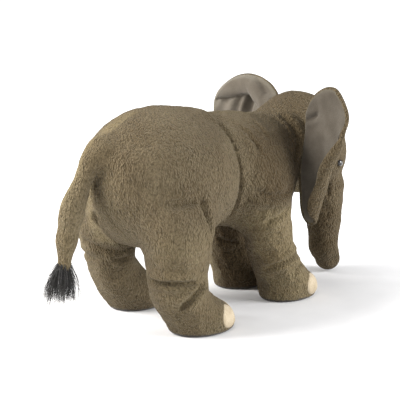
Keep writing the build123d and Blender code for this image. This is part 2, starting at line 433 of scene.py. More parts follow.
FLANK_SEAM = [(14, 13, 207), (22, 10, 202), (35, 7, 192), (43, 6, 182), (49, 5, 170)]
FLANK_SEAM += [(53, 4, 154), (53, 4, 137), (49, 4, 122), (35, 3, 102), (20, 2, 92)]
NECK_CREASE = [(14, -82, 199), (28, -86, 191), (36, -88, 182), (41, -89, 173), (46, -84, 160), (53, -74, 147)]
HAUNCH_CREASE = [(72, 78, 146), (75, 76, 137), (78, 72, 124), (78, 68, 113), (76, 64, 102), (72, 60, 93)]
GUSSET_SEAM = [(5, 146, 128), (9, 140, 118), (11, 134, 110), (12, 125, 100), (14, 115, 89), (17, 96, 76)]
FAR_HAUNCH = [(60, 119, 85), (54, 121, 83), (47, 121, 81), (37, 117, 77), (28, 107, 72), (22, 92, 66)]

# Folds and creases of the skin: points as distance from the middle, y and z, then depth, width, swell.
FOLDS = [
    # the end of the big rear panel
    (FLANK_SEAM, 2.6, 1.7, 0.0),
    # dent in the haunch, and the crease between haunch and barrel
    ([(66, 114, 138), (71, 99, 140), (74, 86, 140), (74, 78, 141)], 3.0, 4.2, 1.2),
    (HAUNCH_CREASE, 4.2, 3.2, 1.4),
    # folds round the rear ankle
    ([(38, 119, 60), (50, 118, 61), (69, 112, 62), (80, 96, 61), (82, 84, 60)], 5.0, 2.8, 2.6),
    ([(44, 116, 53), (56, 115, 53), (70, 108, 54), (79, 94, 54)], 1.8, 5.0, 0.0),
    ([(81, 70, 60), (80, 82, 55), (80, 90, 49), (77, 99, 41), (70, 105, 31)], 4.6, 3.0, 2.2),
    # shoulder and front leg
    ([(50, -6, 131), (58, -14, 129), (63, -28, 124), (66, -46, 124), (62, -62, 129)], 2.6, 3.6, 1.4),
    ([(64, -58, 110), (65, -48, 106), (62, -36, 101), (55, -24, 95)], 3.2, 3.0, 1.5),
    ([(52, -80, 55), (61, -67, 54), (62, -54, 51), (55, -42, 46), (44, -34, 40)], 3.6, 2.6, 2.0),
    ([(54, -84, 43), (61, -72, 40), (62, -62, 33)], 2.6, 2.2, 1.2),
    # neck crease and the wrinkles of the shoulder panel
    (NECK_CREASE, 3.8, 2.8, 1.2),
    ([(30, -10, 198), (37, -16, 191), (46, -20, 180), (51, -22, 168)], 1.8, 2.2, 0.9),
    ([(22, -34, 200), (36, -38, 188), (46, -40, 176)], 1.2, 2.2, 0.7),
    ([(20, 24, 214), (30, 17, 206), (38, 14, 198)], 1.6, 1.8, 0.7),
    # corner of the mouth, under the cheek
    ([(24, -150, 118), (21, -155, 107), (19, -158, 94)], 2.6, 2.2, 0.8),
    # crease of the eyelids
    ([(26, -168, 141), (28, -163, 136), (29, -157, 131)], 1.6, 1.7, 0.7),
    # wrinkles across the trunk
    ([(14, -160, 66), (16, -171, 66), (12, -183, 67)], 1.2, 1.8, 0.6),
    ([(12, -162, 45), (14, -172, 45), (10, -182, 46)], 1.2, 1.8, 0.6),
]

# Seams and folds seen only beside the tail and on the far legs, with x as it is.
FAR_FOLDS = [
    (GUSSET_SEAM, 7.0, 3.2, 2.0),
    (FAR_HAUNCH, 2.4, 3.6, 0.8),
    ([(30, 108, 63), (24, 98, 62), (22, 88, 63)], 2.6, 2.6, 1.4),
    ([(26, -30, 60), (17, -41, 56), (12, -52, 54)], 3.0, 2.6, 1.4),
]
FOLD_SHIFT = {RIGHT: (0, 0, 0), LEFT: (0, 2, 3)}
FOLD_SHARE = {RIGHT: 1.0, LEFT: 0.45}


def gusset_half_width(y, z):
    """Half the width of the belly gusset, which starts in a point under the tail."""
    behind = np.interp(z, [0.088, 0.140, 0.164], [0.026, 0.012, 0.0])
    under = 0.024
    return np.where(y > 0.07, behind, under)


def all_folds():
    """Every fold of both sides, laid onto the skin."""
    folds = [(on_skin(line), *shape) for line, *shape in FAR_FOLDS]
    for side in (RIGHT, LEFT):
        share = FOLD_SHARE[side]
        for line, depth, width, swell in FOLDS:
            folds.append((on_skin(line, side, FOLD_SHIFT[side]), depth * share, width, swell * share))
    return folds


def seam_height(co, folds):
    """Height of all seams and folds at points of the skin."""
    height = sum(fold(co, *shape) for shape in folds)
    edge = np.abs(np.abs(co[:, 0]) - gusset_half_width(co[:, 1], co[:, 2]))
    rear = (co[:, 1] > 0.07) & (co[:, 0] < 0) & (co[:, 2] < 0.166) & (co[:, 2] > 0.07)
    height = height - np.exp(-((edge / 0.0018) ** 2)) * rear
    return height * 0.001


def pile_height(co, size, height):
    """Uneven height of the pile or padding, in lumps longer down the nap than across it."""
    stretched = co / (size * np.array([1.0, 1.0, 1.5]))
    values = [noise.noise(Vector(p)) for p in stretched]
    return height * np.array(values)


# ---- stuffing by cloth simulation


def stuffed(piece, held, pressure=4.0, most=0.0035, frames=20):
    """How far the stuffing pushes each vertex of a closed skin, with the held ones staying put."""
    before = vertices_of(piece)
    soft = add_object("soft", piece.data.copy())
    group = soft.vertex_groups.new(name="held")
    for strength in (0.25, 0.5, 0.75, 1.0):
        members = np.nonzero((held > strength - 0.25) & (held <= strength))[0]
        group.add(members.tolist(), strength, "REPLACE")
    cloth = soft.modifiers.new("cloth", "CLOTH")
    settings = cloth.settings
    settings.use_pressure = True
    settings.uniform_pressure_force = pressure
    settings.effector_weights.gravity = 0
    settings.vertex_group_mass = "held"
    settings.pin_stiffness = 1.0
    settings.shrink_min = -0.02
    settings.tension_stiffness = 12
    settings.compression_stiffness = 12
    settings.bending_stiffness = 0.4
    settings.quality = 5
    cloth.collision_settings.use_collision = False
    cloth.collision_settings.use_self_collision = False
    scene = bpy.context.scene
    for number in range(1, frames + 1):
        scene.frame_set(number)
    depsgraph = bpy.context.evaluated_depsgraph_get()
    move = vertices_of(soft.evaluated_get(depsgraph)) - before
    scene.frame_set(1)
    bpy.data.objects.remove(soft)
    length = np.linalg.norm(move, axis=1)
    return move * (most * np.tanh(length / most) / np.maximum(length, 1e-9))[:, None]


# ---- materials


class Nodes:
    """A material's nodes, with short calls for the ones used here."""

    def __init__(self, name):
        self.material = bpy.data.materials.new(name)
        self.material.use_nodes = True
        self.tree = self.material.node_tree
        self.shader = self.tree.nodes["Principled BSDF"]

    def feed(self, node, inputs):
        """Give inputs of a node another node's output, a number, a colour or a vector."""
        for name, value in inputs.items():
            socket = node.inputs[name]
            if isinstance(value, bpy.types.NodeSocket):
                self.tree.links.new(value, socket)
            elif isinstance(value, tuple):
                socket.default_value = (*value, 1.0)[: len(socket.default_value)]
            else:
                socket.default_value = value

    def new(self, kind, **inputs):
        node = self.tree.nodes.new("ShaderNode" + kind)
        self.feed(node, inputs)
        return node

    def place(self, scale=(1, 1, 1)):
        """Object coordinates, stretched to the grain of the cloth."""
        coordinates = self.new("TexCoord").outputs["Object"]
        return self.new("Mapping", Vector=coordinates, Scale=scale).outputs["Vector"]

    def noise(self, vector, scale, detail=2.0, roughness=0.5, distortion=0.0):
        node = self.new("TexNoise", Vector=vector, Scale=scale, Detail=detail)
        self.feed(node, {"Roughness": roughness, "Distortion": distortion})
        return node.outputs["Fac"]

    def nudged(self, vector, scale, most):
        """A place moved about by noise, so that a pattern there loses its regular look."""
        noise = self.new("TexNoise", Vector=vector, Scale=scale)
        move = self.new("VectorMath")
        move.operation = "MULTIPLY_ADD"
        self.feed(move, {0: noise.outputs["Color"], 1: (most, most, most), 2: vector})
        return move.outputs["Vector"]

    def cells(self, vector, scale):
        node = self.new("TexVoronoi", Vector=vector, Scale=scale)
        node.feature = "SMOOTH_F1"
        self.feed(node, {"Smoothness": 0.5})
        return node.outputs["Distance"]

    def ramp(self, value, stops):
        node = self.new("ValToRGB", Fac=value)
        ramp = node.color_ramp
        while len(ramp.elements) < len(stops):
            ramp.elements.new(0.5)
        for element, (position, colour) in zip(ramp.elements, stops):
            element.position = position
            element.color = (*colour, 1.0)
        return node.outputs["Color"]

    def multiplied(self, a, b):
        return self.mix(1.0, a, b, "MULTIPLY")

    def mix(self, share, a, b, kind="MIX"):
        node = self.new("Mix")
        node.data_type = "RGBA"
        node.blend_type = kind
        self.feed(node, {0: share, 6: a, 7: b})
        return node.outputs[2]

    def math(self, operation, a, b):
        node = self.new("Math")
        node.operation = operation
        self.feed(node, {0: a, 1: b})
        return node.outputs[0]

    def attribute(self, name):
        node = self.new("Attribute")
        node.attribute_name = name
        return node.outputs["Fac"]

    def bump(self, height, distance, strength=1.0):
        node = self.new("Bump", Distance=distance, Strength=strength, Height=height)
        self.feed(self.shader, {"Normal": node.outputs["Normal"]})

    def finish(self, colour, roughness, sheen=0.0, sheen_tint=(1, 1, 1), specular=0.2):
        self.feed(self.shader, {"Base Color": colour, "Roughness": roughness, "Specular IOR Level": specular})
        self.feed(self.shader, {"Sheen Weight": sheen, "Sheen Roughness": 0.45, "Sheen Tint": sheen_tint})
        return self.material


def plush_material():
    """Short dense pile: taupe tips, painted shade in the gaps between clumps, patches brushed another way,
    and painted light and shade stored on the skin.
    """
    n = Nodes("plush")
    nap = n.place((1.0, 1.0, 0.55))
    tangle = n.noise(nap, 400, detail=3.0, roughness=0.6)
    clumps = n.cells(n.nudged(nap, 520, 0.0015), 680)
    fibres = n.noise(nap, 1900, roughness=0.6)
    brushed = n.noise(n.place(), 38, detail=4.0, roughness=0.6, distortion=0.7)
    drift = n.noise(n.place(), 12)
    # Pale tips in the middle of each clump, then painted shade darkening the gaps between clumps, where the
    # bump is lowest.
    light = [(0.10, (0.148, 0.115, 0.071)), (0.38, (0.129, 0.101, 0.062))]
    painted_gap_shade = [(0.62, (0.102, 0.079, 0.048)), (0.90, (0.072, 0.055, 0.032))]
    tips_and_gap_shade = n.ramp(clumps, light + painted_gap_shade)
    mixed = n.ramp(tangle, [(0.30, (0.93, 0.92, 0.91)), (0.68, (1.07, 1.07, 1.07))])
    strokes = n.ramp(brushed, [(0.36, (0.90, 0.89, 0.87)), (0.52, (1, 1, 1)), (0.66, (1.09, 1.10, 1.10))])
    patches = n.ramp(drift, [(0.35, (0.92, 0.89, 0.85)), (0.65, (1.06, 1.07, 1.05))])
    # Painted light and shade from the stored attribute: darker below 0.5, lighter above it.
    painted_shading_stops = [(0.0, (0.50, 0.42, 0.34)), (0.5, (1, 1, 1)), (1.0, (1.55, 1.58, 1.50))]
    painted_shading_layer = n.ramp(n.attribute("painted_shading"), painted_shading_stops)
    colour = tips_and_gap_shade
    for layer in (mixed, strokes, patches, painted_shading_layer):
        colour = n.multiplied(colour, layer)
    curls = n.math("MULTIPLY", tangle, 1.6)
    relief = n.math("ADD", n.math("SUBTRACT", n.math("MULTIPLY", fibres, 0.3), clumps), curls)
    n.bump(relief, 0.0027, 1.0)
    return n.finish(colour, 0.95, sheen=0.12, sheen_tint=(1.0, 0.93, 0.76), specular=0.05)


def velour_material():
    """Smooth grey-taupe velour on the backs of the ears, darkened by painted shade stored on each ear."""
    n = Nodes("ear_velour")
    where = n.place()
    nap = n.noise(where, 1500)
    cloud = n.noise(where, 45, detail=3.0, roughness=0.55)
    greys = [(0.32, (0.085, 0.072, 0.056)), (0.52, (0.108, 0.093, 0.074)), (0.70, (0.134, 0.118, 0.096))]
    base = n.ramp(cloud, greys)
    fine = n.ramp(nap, [(0.3, (0.88, 0.88, 0.88)), (0.7, (1.10, 1.10, 1.10))])
    colour = n.multiplied(base, fine)
    colour = n.mix(n.attribute("fuzz"), colour, (0.15, 0.135, 0.105))
    # Painted shade from the stored attribute: the lower it is, the darker.
    painted_shading_layer = n.ramp(n.attribute("painted_shading"), [(0.0, (0.42, 0.40, 0.38)), (1.0, (1.0, 1.0, 1.0))])
    colour = n.multiplied(colour, painted_shading_layer)
    height = n.math("ADD", nap, n.math("MULTIPLY", cloud, 0.8))
    n.bump(height, 0.0005, 0.7)
    return n.finish(colour, 0.9, sheen=0.22, sheen_tint=(1.0, 0.97, 0.88), specular=0.1)


def sole_material():
    n = Nodes("sole_cloth")
    weave = n.cells(n.place(), 900)
    colour = n.ramp(weave, [(0.1, (0.050, 0.044, 0.038)), (0.7, (0.090, 0.080, 0.068))])
    n.bump(weave, 0.0005, 0.6)
    return n.finish(colour, 0.9, sheen=0.1, specular=0.1)


def toenail_material():
    n = Nodes("toenail_cloth")
    where = n.place()
    nap = n.noise(where, 1400)
    cloud = n.noise(where, 90)
    colour = n.ramp(nap, [(0.3, (0.36, 0.30, 0.21)), (0.7, (0.50, 0.43, 0.32))])
    soiled = n.ramp(cloud, [(0.35, (0.84, 0.80, 0.74)), (0.65, (1.05, 1.04, 1.02))])
    n.bump(nap, 0.0004, 0.6)
    return n.finish(n.multiplied(colour, soiled), 0.85, sheen=0.2, specular=0.15)


def tuft_material():
    n = Nodes("tuft_hair")
    streaks = n.noise(n.place((1.0, 1.0, 0.12)), 1200)
    colour = n.ramp(streaks, [(0.3, (0.004, 0.0035, 0.003)), (0.75, (0.016, 0.014, 0.011))])
    return n.finish(colour, 0.5, sheen=0.1, specular=0.4)


def bead_material():
    n = Nodes("eye_bead")
    swirl = n.noise(n.place(), 400, detail=1.0)
    colour = n.ramp(swirl, [(0.3, (0.004, 0.003, 0.002)), (0.8, (0.014, 0.009, 0.005))])
    n.feed(n.shader, {"Coat Weight": 0.6, "Coat Roughness": 0.04})
    return n.finish(colour, 0.12, specular=0.5)


PLUSH = plush_material()
VELOUR = velour_material()
SOLE = sole_material()
TOENAIL = toenail_material()
TUFT = tuft_material()
BEAD = bead_material()


# ---- pieces


def dressed(piece, material):
    piece.data.materials.clear()
    piece.data.materials.append(material)
    piece.data.polygons.foreach_set("use_smooth", np.ones(len(piece.data.polygons), bool))
    return piece


def add_attribute(piece, name, values):
    attribute = piece.data.attributes.new(name, "FLOAT", "POINT")
    attribute.data.foreach_set("value", np.asarray(values, np.float32))


def part_of_mesh(name, co, quads):
    """Some quads of a mesh as a piece of their own."""
    used = np.unique(quads)
    number = np.full(len(co), -1)
    number[used] = np.arange(len(used))
    return add_mesh(name, co[used], number[quads])


def ramp_place(point_mm, direction, length_mm):
    """Start and end of a smooth bend: through a point, along a direction."""
    start = mm(*point_mm)
    direction = np.array(direction, float)
    direction = direction / np.linalg.norm(direction)
    return start, start + direction * length_mm * 0.001, direction


NECK_START, NECK_END, NECK_WAY = ramp_place((0, -74.5, 169), (0, -0.915, 0.402), 16)
HEAD_END = NECK_END + NECK_WAY * 0.014
TRUNK_START, TRUNK_END, TRUNK_WAY = ramp_place((0, -170, 124), (0, -0.15, -1), 26)
CURL_START, CURL_END, CURL_WAY = ramp_place((0, -174, 81), (0, 0, -1), 16)
TAIL_START, TAIL_END, TAIL_WAY = ramp_place((0, 157, 172), (0, 0.42, -0.9), 26)
WAG_START, WAG_END, WAG_WAY = ramp_place((0, 181, 126), (0, 0.1, -1), 18)
LEG_SLOPE = 0.052  # value of 0.8 z - 0.6 |x| where a leg starts to swing
LEG_RAMP = 30
LEG_HIPS = {"rear": 82, "front": -52}


def leg_bend(side, y):
    """Start and end of the bend where a leg leaves the body."""
    start, stop, _ = ramp_place((0, y, LEG_SLOPE / 0.8 * 1000), (side * 0.6, 0, -0.8), LEG_RAMP)
    return start, stop


def beyond(co, start, way):
    return (co - start) @ way > 0


def regions(centres, tail_nearer):
    """Which piece each face of the skin belongs to."""
    x, y, z = centres.T
    name = np.full(len(centres), "", dtype=object)
    name[x >= 0] = "side_left"
    name[x < 0] = "side_right"
    under = (np.abs(x) < gusset_half_width(y, z)) & (z < np.where(y > 0.07, 0.166, 0.115))
    name[under & (y > -0.10)] = "belly_gusset"
    for side in (RIGHT, LEFT):
        label = SIDE_NAMES[side]
        leg = (0.6 * side * x - 0.8 * z > -LEG_SLOPE) & (side * x > 0)
        name[leg & (y > 0.012)] = "rear_leg_" + label
        name[leg & (y <= 0.012)] = "front_leg_" + label
    ahead = beyond(centres, NECK_START, NECK_WAY)
    name[ahead] = "neck"
    face = beyond(centres, NECK_END, NECK_WAY)
    name[face & (x >= 0)] = "head_left"
    name[face & (x < 0)] = "head_right"
    brow = face & (np.abs(x) < 0.017) & (z > 0.158)
    name[brow] = "forehead"
    chin = face & (z < 0.121) & (y > -0.146) & (np.abs(x) < 0.018)
    name[chin] = "lower_lip"
    snout = face & beyond(centres, TRUNK_START, TRUNK_WAY) & (y < -0.146)
    name[snout] = "trunk_upper"
    low = snout & beyond(centres, CURL_START, CURL_WAY)
    name[low] = "trunk_lower"
    name[low & (z < 0.0045)] = "trunk_tip"
    tail_part = tail_nearer & beyond(centres, TAIL_START, TAIL_WAY) & (y > 0.12)
    name[tail_part] = "tail_upper"
    name[tail_part & beyond(centres, WAG_START, WAG_WAY)] = "tail_lower"
    feet = (z < 0.0028) & (y > -0.13)
    for label in ("rear_leg_left", "rear_leg_right", "front_leg_left", "front_leg_right"):
        name[feet & (name == label)] = label.replace("leg_", "sole_")
    return name


def build_skin():
    """The sewn and stuffed skin as one surface: vertices, quads and the same vertices before stuffing."""
    piece = coarse_skin("skin", BODY_BALLS, body)
    co = vertices_of(piece)
    centre_seam = np.exp(-((co[:, 0] / 0.006) ** 2)) * (co[:, 2] > 0.19)
    folds = all_folds()
    seams = np.clip(-seam_height(co, folds) / 0.0015, 0, 1)
    flat = (co[:, 2] < 0.006).astype(float)
    held = np.clip(np.maximum(np.maximum(seams, centre_seam * 0.5), flat), 0, 1)
    push = stuffed(piece, held)
    moved = add_object("moved", piece.data.copy())
    set_vertices(moved, co + push)
    subdivided(piece, 2)
    subdivided(moved, 2)
    push = vertices_of(moved) - vertices_of(piece)
    bpy.data.objects.remove(moved)
    quads = quads_of(piece)
    edges = edges_of(piece)
    rest = settled(vertices_of(piece), edges, body, 6, 0.3)
    set_vertices(piece, rest)
    normal = normals_of(piece)
    lift = (push * normal).sum(1)
    push = push - normal * np.median(lift)
    co = rest + push + normal * seam_height(rest, folds)[:, None]
    co = evened(co, edges, 0.3)
    set_vertices(piece, co)
    normal = normals_of(piece)
    pile = pile_height(rest, PILE_CLUMP, PILE_HEIGHT)
    pile = pile + pile_height(rest + 0.5, PILE_CLUMP * 3, PILE_HEIGHT * 0.8)
    smooth_floor = smooth_step(rest[:, 2], 0.001, 0.005)
    co = co + normal * (pile * smooth_floor)[:, None]
    co[:, 2] = np.maximum(co[:, 2], 0.0002)
    bpy.data.objects.remove(piece)
    return co, quads, rest, normal


def painted_light_and_shade(rest, normal):
    """How light the plush looks by painted light and shade, region by region: 0.5 is plain, less is darker,
    more is lighter.
    """
    x, y, z = rest.T
    lower = smooth_step(-z, -0.125, -0.095)
    legs = lower * (y > -0.13)
    # Painted shade: the face and the shoulders are made darker, the shoulders as if in the shadow of the
    # ears.
    face = smooth_step(-y, 0.060, 0.100) * (1 - legs)
    shoulder = smooth_step(-y, -0.002, 0.03) * (1 - lower) * (1 - face) * smooth_step(np.abs(x), 0.02, 0.045)
    # Painted shade on the inner sides of the legs.
    inner = legs * smooth_step(-np.sign(x) * normal[:, 0], -0.1, 0.5)
    # Painted light on a strip beside the cleft under the tail; nothing limits it in height, so it runs on up
    # over the back.
    heights = [0.076, 0.089, 0.101, 0.115, 0.128, 0.142]
    cleft = np.interp(z, heights, [0.017, 0.014, 0.013, 0.011, 0.004, -0.004])
    strip = smooth_step(x - cleft, 0.002, 0.006) * smooth_step(cleft - x, -0.030, -0.018)
    strip = strip * smooth_step(y, 0.085, 0.105) * smooth_step(z, 0.076, 0.088)
    # Painted light on the outer sides of the legs.
    outer = legs * smooth_step(np.sign(x) * normal[:, 0], 0.0, 0.6)
    front = smooth_step(-y, 0.0, 0.02)
    # Plain 0.5, less painted shade on the face, shoulders and inner legs, plus painted light on the outer
    # legs; the front legs get more of both.
    painted_shading = 0.5 - 0.17 * face - 0.33 * shoulder
    painted_shading = painted_shading - inner * (0.12 + 0.26 * front) + outer * (0.20 + 0.52 * front)
    # Painted shadow round the neck under the ears, and painted light on the back of the rump and the tail.
    collar = np.exp(-(((y + 0.078) / 0.017) ** 2)) * (1 - lower) * smooth_step(-z, -0.200, -0.175)
    behind = smooth_step(y, 0.13, 0.15) * smooth_step(z, 0.05, 0.07)
    painted_shading = painted_shading + 0.12 * behind + 0.60 * strip - 0.20 * collar
    return np.clip(painted_shading, 0, 1)


def make_skin_pieces():
    co, quads, rest, normal = build_skin()
    # Painted light and shade, stored on each piece of skin as an attribute.
    painted_shading = painted_light_and_shade(rest, normal)
    centres = rest[quads].mean(1)
    tail_nearer = tail[0](centres) < np.minimum(rear_body[0](centres), 0.05) - 0.001
    tail_nearer &= tail[0](centres) < 0.004
    name = regions(centres, tail_nearer)
    pieces = {}
    for label in sorted(set(name)):
        chosen = quads[name == label]
        piece = part_of_mesh("plush_" + label, co, chosen)
        add_attribute(piece, "painted_shading", painted_shading[np.unique(chosen)])
        cloth = "sole" in label
        dressed(piece, SOLE if cloth else PLUSH)
        pieces[label] = piece
    return pieces, co, quads


def place_skin_pieces(pieces):
    """What the riding pieces of skin move with, and which nodes each piece stands for; the pieces listed with
    a bend between two bodies are only left fixed where they are.
    """
    rides = {
        "side_left": ("torso", ["side_panel_left", "torso_filling"]),
        "side_right": ("torso", ["side_panel_right"]),
        "belly_gusset": ("torso", ["belly_gusset"]),
        "trunk_tip": ("trunk_lower", ["trunk_tip_panel"]),
    }
    head_bend = ("neck", "head", NECK_END, HEAD_END)
    bends = {
        "neck": (("torso", "neck", NECK_START, NECK_END), ["neck_skin", "neck_filling"]),
        "head_left": (head_bend, ["head_panel_left", "head_filling"]),
        "head_right": (head_bend, ["head_panel_right"]),
        "forehead": (head_bend, ["forehead_gusset"]),
        "lower_lip": (head_bend, ["lower_lip"]),
    }
    for label, holder, start, stop in (
        ("trunk_upper", "head", TRUNK_START, TRUNK_END),
        ("trunk_lower", "trunk_upper", CURL_START, CURL_END),
        ("tail_upper", "torso", TAIL_START, TAIL_END),
        ("tail_lower", "tail_upper", WAG_START, WAG_END),
    ):
        bends[label] = ((holder, label, start, stop), [label + "_skin", label + "_filling"])
    for end, y in LEG_HIPS.items():
        for side, side_name in SIDE_NAMES.items():
            label = f"{end}_leg_{side_name}"
            nodes = [f"{end}_leg_skin_{side_name}", f"{end}_leg_filling_{side_name}"]
            bends[label] = (("torso", label, *leg_bend(side, y)), nodes)
            rides[f"{end}_sole_{side_name}"] = (label, [f"{end}_leg_sole_{side_name}"])
    for label, (body_name, nodes) in rides.items():
        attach(pieces[label], body_name)
        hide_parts(*nodes)
    for label, ((a, b, start, stop), nodes) in bends.items():
        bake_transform(pieces[label])
        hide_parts(*nodes)


# ---- toenails


# Each foot's distance from the middle and y, and its half width and half length.
FEET = {"rear": ((52, 60), (31.5, 38)), "front": ((33, -80), (28.5, 36))}
NAIL_TURNS = (-60, 0, 60)
NAIL_HALF_ANGLE = 25
NAIL_HEIGHT = 15
NAIL_HALF_HEIGHT = 12
NAIL_THICKNESS = 0.0012


def nail_point(surface, foot, side, turn, a, b):
    """A point of a toenail on the plush, found by a probe that stays on its own side of the middle."""
    centre, radii = foot
    u = a * math.sqrt(1 - b * b / 2)
    v = b * math.sqrt(1 - a * a / 2)
    angle = math.radians(turn + NAIL_HALF_ANGLE * u)
    height = NAIL_HEIGHT + NAIL_HALF_HEIGHT * v
    outward = np.array([math.sin(angle), -math.cos(angle), 0.0])
    x = side * centre[0] + radii[0] * outward[0]
    y = centre[1] + radii[1] * outward[1]
    inward = max(-side * outward[0], 1e-6)
    clear = min(0.02, (side * x * 0.001 - 0.0005) / inward)
    probe = mm(x, y, height) + outward * clear
    hit = surface.ray_cast(Vector(probe), Vector(-outward))[0]
    rim = max(abs(a), abs(b))
    proud = NAIL_THICKNESS * math.sqrt(max(0.0, 1 - rim**6)) - 0.0006 * (rim > 0.99)
    return np.array(hit) + outward * proud


def make_toenails(surface):
    """Three smooth cloth patches on the front of each foot, laid on the plush."""
    count = 15
    for end, foot in FEET.items():
        for side, label in SIDE_NAMES.items():
            vertices, faces = [], []
            for turn in NAIL_TURNS:
                first = len(vertices)
                for row in range(count):
                    for column in range(count):
                        a = 2 * column / (count - 1) - 1
                        b = 2 * row / (count - 1) - 1
                        vertices.append(nail_point(surface, foot, side, turn, a, b))
                faces += (first + grid_quads(count - 1, count, closed=False)).tolist()
            nail = add_mesh(f"toenails_{end}_{label}", vertices, faces)
            subdivided(nail, 1)
            dressed(nail, TOENAIL)
            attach(nail, f"{end}_leg_{label}")
            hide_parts(f"{end}_leg_toenails_{label}")


# ---- ears

# Outline of each ear laid flat: distance from the middle of the head, and height.
EAR_OUTLINES = {
    RIGHT: [(64, 83), (80, 94), (88, 112), (97, 131), (105, 150), (109, 168), (110, 188), (109.5, 206)]
    + [(102, 221), (89, 231), (66, 229.5), (46, 219), (36, 202), (37, 180), (41, 150), (45, 125), (50, 98)],
    LEFT: [(64, 83), (80, 94), (90, 112), (100, 134), (109, 160), (113, 188), (109, 207), (96, 221)]
    + [(78, 227), (57, 227), (38, 224), (22, 218), (13, 206), (28, 180), (38, 150), (44, 125), (50, 98)],
}


def closed_curve(points, count):
    """Points evenly spread on a smooth closed curve through some points."""
    points = np.asarray(points, float)
    fine = []
    total = len(points)
    for i in range(total):
        p0, p1, p2, p3 = (points[(i + k) % total] for k in (-1, 0, 1, 2))
        squared, cubed = 2 * p0 - 5 * p1 + 4 * p2 - p3, 3 * p1 - p0 - 3 * p2 + p3
        for t in np.linspace(0, 1, 40, endpoint=False):
            fine.append(0.5 * (2 * p1 + (p2 - p0) * t + squared * t * t + cubed * t**3))
    fine = np.array(fine + [fine[0]])
    length = np.concatenate([[0], np.cumsum(np.linalg.norm(np.diff(fine, axis=0), axis=1))])
    at = np.linspace(0, length[-1], count, endpoint=False)
    return np.stack([np.interp(at, length, fine[:, k]) for k in (0, 1)], 1)


# Cross-sections of an ear from the head outwards: height, flat reach, then four places as x y.
EAR_SECTIONS = {
    RIGHT: [
        (80, (48, 84), (50, -79), (58, -85), (70, -84), (64, -74)),
        (95, (48, 84), (51, -81), (60, -88), (72, -84), (65, -73)),
        (112, (46, 88), (49, -82.5), (61, -92), (76, -85), (69, -72)),
        (131, (43, 98), (45, -83), (63, -95), (81, -87), (77, -76)),
        (150, (41, 105), (43, -88), (66, -97), (88, -87), (81, -78)),
        (166, (39, 110), (41, -95), (70, -98), (97, -88), (87, -81)),
        (181, (37, 112), (39, -101), (71, -99), (101, -91), (98, -85.5)),
        (200, (36, 113), (37, -104), (63, -101), (89, -98), (112, -91)),
        (235, (36, 113), (37, -105), (63, -102), (88, -99), (111, -93)),
    ],
    LEFT: [
        (80, (48, 86), (50, -86), (60, -92), (76, -92), (84, -86)),
        (130, (42, 100), (42, -97), (62, -104), (86, -104), (99, -97)),
        (170, (33, 112), (34, -104), (60, -110), (88, -110), (111, -102)),
        (200, (21, 115), (23, -112), (50, -114), (84, -112), (115, -104)),
        (235, (20, 115), (22, -114), (50, -116), (84, -114), (112, -107)),
    ],
}
EAR_KNOTS = (0, 0.36, 0.76, 1)
EAR_MIDDLE = (76.0, 168.0)
EAR_HALF_THICKNESS = 0.0032
EAR_BACK_REACH = {RIGHT: 0.955, LEFT: 0.985}  # share of the radius the velour covers


def ear_sheet(side, u, v):
    """The middle of an ear's padding, in space, for its flat places."""
    sections = EAR_SECTIONS[side]
    heights = [section[0] for section in sections]

    def along(values):
        return smooth_curve(heights, values, 7)(v)

    first, last = (along([section[1][k] for section in sections]) for k in (0, 1))
    t = (u - first) / (last - first)
    x, y = 0, 0
    for k, knot in enumerate(EAR_KNOTS):
        weight = 1
        for other in EAR_KNOTS:
            if other != knot:
                weight = weight * (t - other) / (knot - other)
        x = x + weight * along([section[2 + k][0] for section in sections])
        y = y + weight * along([section[2 + k][1] for section in sections])
    return np.stack([side * x, y, v], 1) * 0.001


def ear_relief(side, u, v):
    """How far the back cloth stands out from the plain padding, in millimetres."""
    flat = np.stack([u, v], 1) * 0.001
    if side == RIGHT:
        crease = fold(flat, divided([(34, 189), (48, 195), (62, 203)]), 2.6, 2.6, 1.2, ends=0.3)
        pull = fold(flat, divided([(58, 180), (66, 150), (66, 118)]), 1.6, 7.0, 0.0)
        return crease + pull
    edge = np.interp(u, [30, 41, 54, 65, 77, 90, 108, 118], [184, 192, 198, 205, 204, 200, 196, 192])
    above = v - edge
    roll = 8 * np.sqrt(np.maximum(0, 1 - ((above - 12.5) / 13) ** 2)) * (above < 26)
    below = -5 * smooth_step(-above, -1.5, 2.5)
    tubes = 0
    for middle, width, height in ((106, 5.0, 3.5), (91, 7.5, 6.5), (77, 4.2, 4.0), (67, 5.0, -5)):
        tubes = tubes + height * np.exp(-(((u - middle + 0.45 * above + 0.012 * above**2) / width) ** 2))
    tubes = tubes * smooth_step(-above, -1, 3) * smooth_step(v, 172, 186)
    return roll + below * smooth_step(u, 30, 60) * smooth_step(v, 150, 185) + tubes


def round_grid(count):
    """A square grid of points drawn into a disc: share of the radius, angle, and the quads."""
    steps = np.linspace(-1, 1, count)
    a, b = (values.ravel() for values in np.meshgrid(steps, steps))
    x, y = a * np.sqrt(1 - b * b / 2), b * np.sqrt(1 - a * a / 2)
    quads = grid_quads(count - 1, count, closed=False)
    return np.minimum(np.hypot(x, y), 1.0), np.arctan2(y, x), quads


